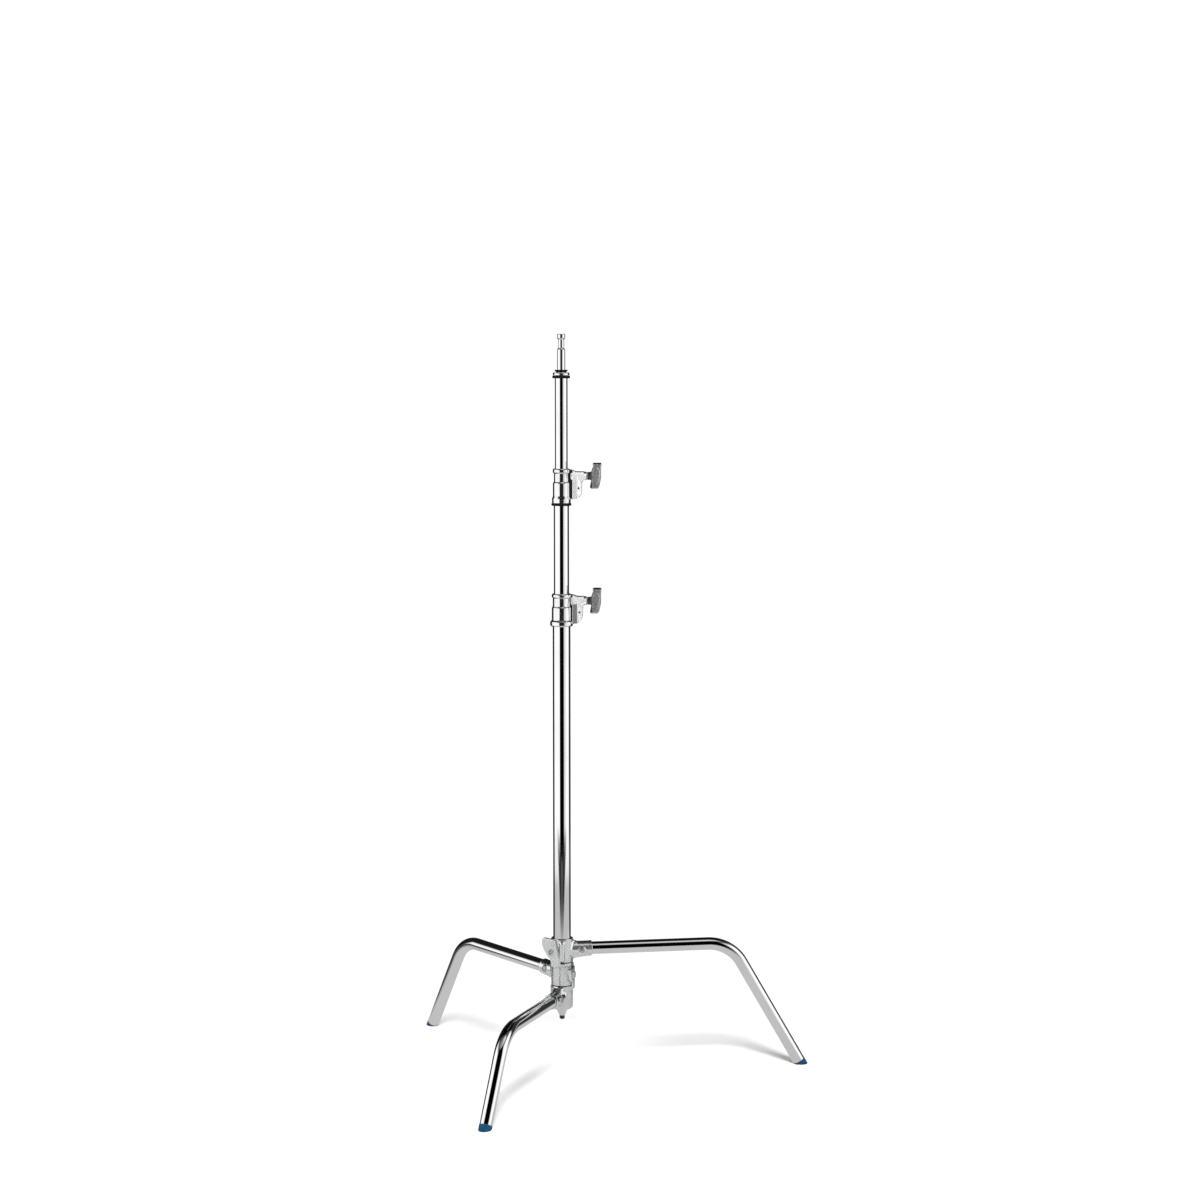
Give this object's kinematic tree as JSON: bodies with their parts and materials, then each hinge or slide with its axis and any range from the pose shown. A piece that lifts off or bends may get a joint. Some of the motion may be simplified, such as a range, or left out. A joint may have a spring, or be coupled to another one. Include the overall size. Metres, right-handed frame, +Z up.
{
  "type": "c stand",
  "caption": "Steel grip stand: folding offset legs on a sprung hub, fixed column, telescopic risers with screw clamps and T-handles, and a lighting stud on top.",
  "frame": {"origin": "middle of the footprint's bounding box, on the floor; the column's axis stands at x = -0.1307 m, y = -0.0336 m", "axes": "+Z up along the column, +X along the highest leg"},
  "size_m": [0.7424, 0.7494, 1.468],
  "materials": {
    "chrome_tube": "polished chrome plate",
    "chrome_casting": "plated die casting, bright with a soft cast texture",
    "satin_handle": "satin cast aluminium",
    "steel": "turned and plated steel",
    "spring_steel": "oiled spring wire",
    "black_rubber": "soft moulded black rubber",
    "black_fibre": "hard black fibre",
    "nylon": "natural nylon",
    "blue_plastic": "moulded deep blue plastic, fine matt texture"
  },
  "bodies": {
    "base": {"column_tube": "chrome_tube", "column_plug": "steel", "top_hub_casting": "chrome_casting", "top_leg_tube": "chrome_tube", "top_leg_foot": "blue_plastic", "top_leg_rivet": "steel", "hub_bolt": "steel", "hub_nut": "black_fibre", "spring_cup": "chrome_casting", "base_spring": "spring_steel", "hub_upper_washer": "black_fibre", "lower_collar": "chrome_casting", "lower_shoe_pin": "black_fibre"},
    "middle_leg": {"middle_hub_casting": "chrome_casting", "middle_leg_tube": "chrome_tube", "middle_leg_foot": "blue_plastic", "middle_leg_rivet": "steel", "middle_detent_plunger": "steel", "hub_lower_washer": "black_fibre"},
    "bottom_leg": {"bottom_hub_casting": "chrome_casting", "bottom_leg_tube": "chrome_tube", "bottom_leg_foot": "blue_plastic", "bottom_leg_rivet": "steel", "bottom_detent_plunger": "steel"},
    "middle_guide": {"middle_riser_guide": "nylon"},
    "middle_riser": {"middle_riser_tube": "chrome_tube", "upper_collar": "chrome_casting", "upper_shoe_pin": "black_fibre", "upper_collar_bumper": "black_rubber"},
    "top_guide": {"top_riser_guide": "nylon"},
    "top_riser": {"top_riser_tube": "chrome_tube", "top_bumper_ring": "black_rubber", "stud_cap": "chrome_casting", "stud_seat_ring": "black_rubber", "stud": "steel"},
    "lower_pad": {"lower_screw_pad": "nylon"},
    "lower_knob": {"lower_clamp_screw": "steel", "lower_steel_washer": "steel", "lower_fibre_washer": "black_fibre", "lower_t_handle": "satin_handle", "lower_handle_pin": "black_fibre"},
    "lower_shoe": {"lower_brake_shoe": "steel"},
    "upper_pad": {"upper_screw_pad": "nylon"},
    "upper_knob": {"upper_clamp_screw": "steel", "upper_steel_washer": "steel", "upper_fibre_washer": "black_fibre", "upper_t_handle": "satin_handle", "upper_handle_pin": "black_fibre"},
    "upper_shoe": {"upper_brake_shoe": "steel"}
  },
  "joints": [
    {"name": "middle_leg_fold", "type": "hinge", "parent": "base", "child": "middle_leg", "pos_m": [-0.13074, -0.03359, 0.208], "axis": [0, 0, 1], "range_deg": [-120, 0]},
    {"name": "bottom_leg_fold", "type": "hinge", "parent": "middle_leg", "child": "bottom_leg", "pos_m": [-0.13074, -0.03359, 0.1611], "axis": [0, 0, 1], "range_deg": [-120, 0]},
    {"name": "middle_riser_slide", "type": "slide", "parent": "base", "child": "middle_guide", "axis": [0, 0, 1], "range_m": [-0.172, 0.51]},
    {"name": "middle_riser_swivel", "type": "hinge", "parent": "middle_guide", "child": "middle_riser", "pos_m": [-0.13074, -0.03359, 0.35], "axis": [0, 0, 1], "continuous": true},
    {"name": "top_riser_slide", "type": "slide", "parent": "middle_riser", "child": "top_guide", "axis": [0, 0, 1], "range_m": [-0.173, 0.51]},
    {"name": "top_riser_swivel", "type": "hinge", "parent": "top_guide", "child": "top_riser", "pos_m": [-0.13074, -0.03359, 0.5654], "axis": [0, 0, 1], "continuous": true},
    {"name": "lower_screw_travel", "type": "slide", "parent": "base", "child": "lower_pad", "axis": [0.9659, -0.2588, 0], "range_m": [0, 0.0025]},
    {"name": "lower_knob_turn", "type": "hinge", "parent": "lower_pad", "child": "lower_knob", "pos_m": [-0.07916, -0.04741, 0.9495], "axis": [0.9659, -0.2588, 0], "range_deg": [0, 720]},
    {"name": "lower_shoe_swing", "type": "hinge", "parent": "base", "child": "lower_shoe", "pos_m": [-0.09596, -0.04291, 0.927], "axis": [0.2588, 0.9659, 0], "range_deg": [0, 3]},
    {"name": "upper_screw_travel", "type": "slide", "parent": "middle_riser", "child": "upper_pad", "axis": [0.9659, -0.2588, 0], "range_m": [0, 0.0025]},
    {"name": "upper_knob_turn", "type": "hinge", "parent": "upper_pad", "child": "upper_knob", "pos_m": [-0.07916, -0.04741, 1.1934], "axis": [0.9659, -0.2588, 0], "range_deg": [0, 720]},
    {"name": "upper_shoe_swing", "type": "hinge", "parent": "middle_riser", "child": "upper_shoe", "pos_m": [-0.09741, -0.04252, 1.1694], "axis": [0.2588, 0.9659, 0], "range_deg": [0, 3]}
  ],
  "couplings": [
    {"joint": "lower_screw_travel", "follows": "lower_knob_turn", "m_per_rad": 0.00019894},
    {"joint": "lower_shoe_swing", "follows": "lower_knob_turn", "ratio": 0.0041666},
    {"joint": "upper_screw_travel", "follows": "upper_knob_turn", "m_per_rad": 0.00019894},
    {"joint": "upper_shoe_swing", "follows": "upper_knob_turn", "ratio": 0.0041666}
  ]
}
